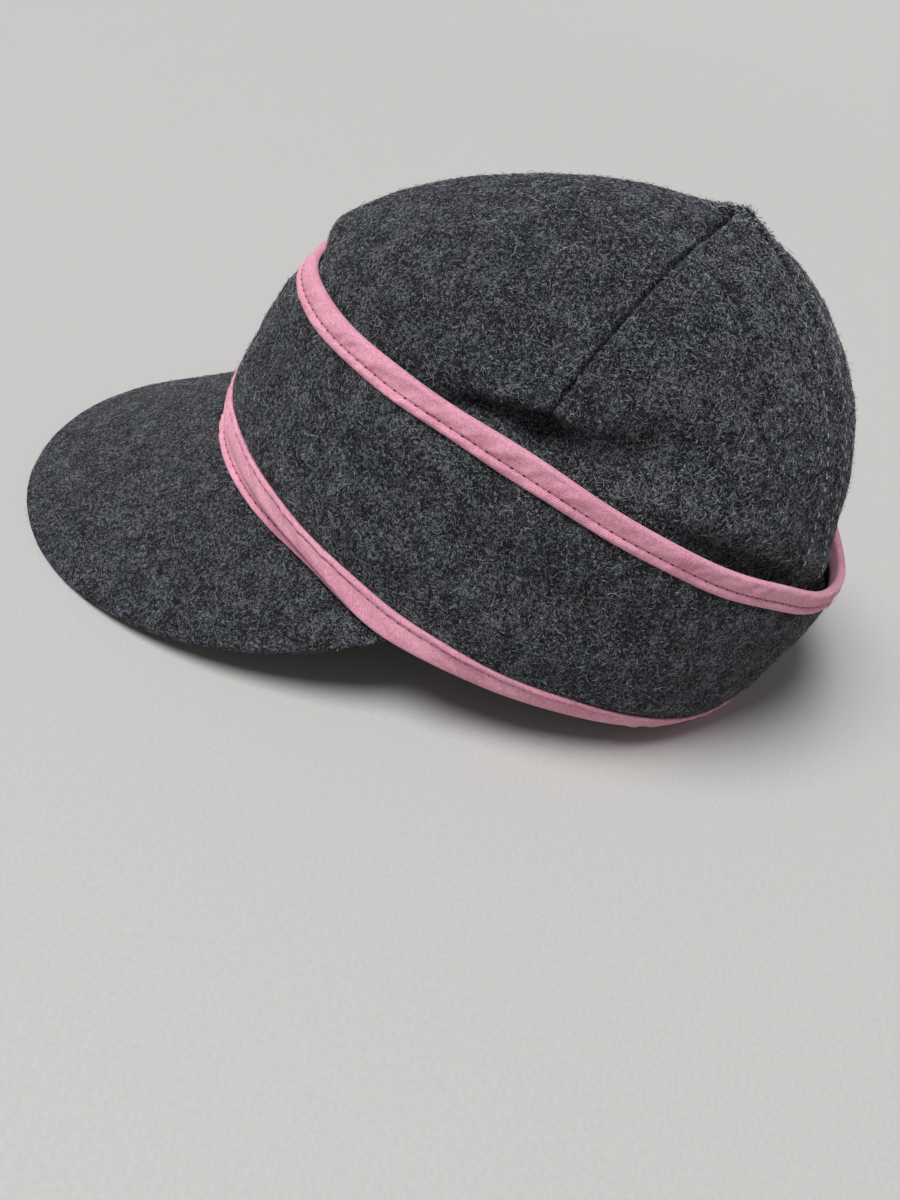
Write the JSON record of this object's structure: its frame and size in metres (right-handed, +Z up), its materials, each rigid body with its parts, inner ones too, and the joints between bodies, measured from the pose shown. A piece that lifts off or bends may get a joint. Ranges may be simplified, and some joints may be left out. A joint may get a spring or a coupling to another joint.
{
  "type": "cadet cap",
  "caption": "Soft wool cadet cap with a short curved peak, a panelled crown and a folded-up ear band edged in bias tape.",
  "frame": {"origin": "middle of the cap's bounding box, on the surface that it rests on", "axes": "+Z up, the peak points along -Y, the wearer's left is +X"},
  "size_m": [0.1934, 0.2818, 0.1352],
  "materials": {
    "wool": "matt charcoal heather melton wool with a short nap",
    "tape": "matt pink cotton bias tape, plain weave"
  },
  "bodies": {
    "root": {"crown_front_panel": "wool", "crown_left_panel": "wool", "crown_right_panel": "wool", "crown_back_panel": "wool", "crown_edge_binding": "tape", "peak": "wool", "ear_band": "wool", "ear_band_bottom_binding": "tape", "ear_band_top_binding": "tape"}
  },
  "joints": []
}
